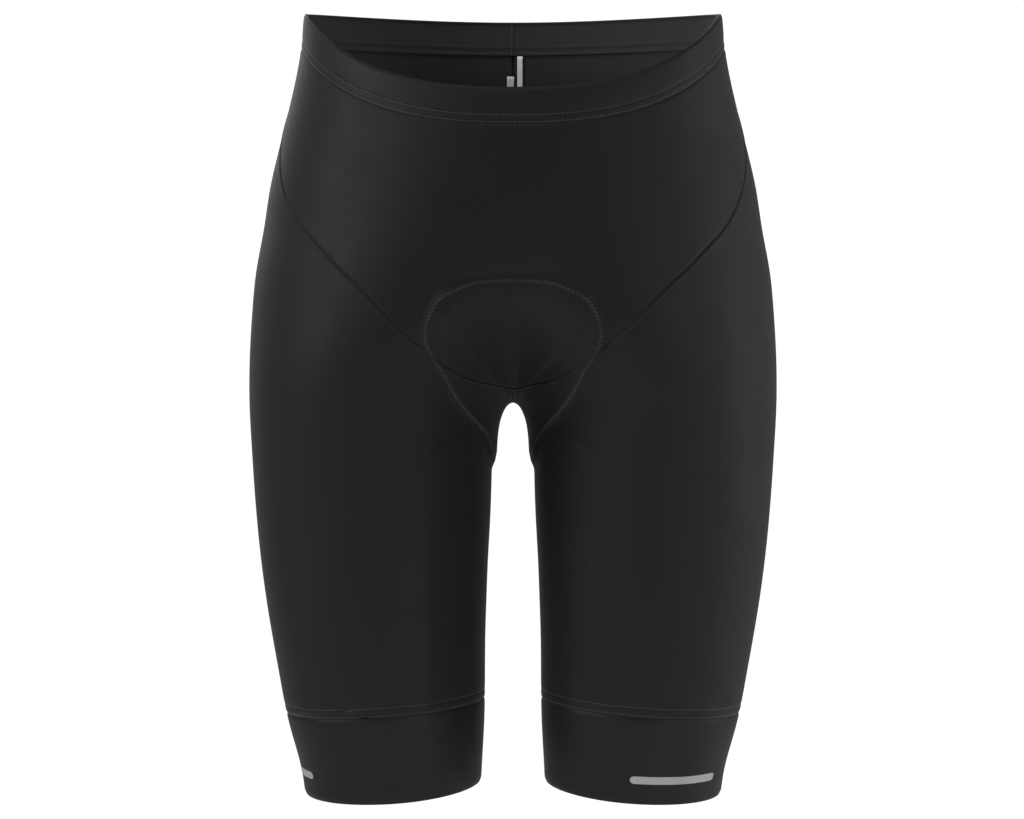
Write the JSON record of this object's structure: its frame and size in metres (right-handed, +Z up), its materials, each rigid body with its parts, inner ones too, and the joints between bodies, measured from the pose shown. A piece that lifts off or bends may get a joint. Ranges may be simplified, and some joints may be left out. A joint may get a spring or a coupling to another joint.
{
  "type": "cycling shorts",
  "caption": "Black cycling shorts in worn shape: hollow trunk and two legs, waistband, curved front seam, leg gripper bands, seat pad.",
  "frame": {"origin": "centre of the waist opening, level with the waistband's top edge at the sides", "axes": "+Z up, -Y the front, +X the wearer's left"},
  "size_m": [0.3486, 0.2476, 0.5272],
  "materials": {
    "lycra": "matt black warp knit with a soft sheen",
    "elastic": "black knit folded over elastic, with coverstitch",
    "gripper": "denser black knit band",
    "pad": "dark grey brushed microfibre over foam",
    "label": "white woven tape, blank"
  },
  "bodies": {
    "root": {"waistband": "elastic", "front_panel": "lycra", "left_leg_panel": "lycra", "right_leg_panel": "lycra", "left_gripper": "gripper", "right_gripper": "gripper", "seat_pad": "pad", "care_label": "label"}
  },
  "joints": []
}
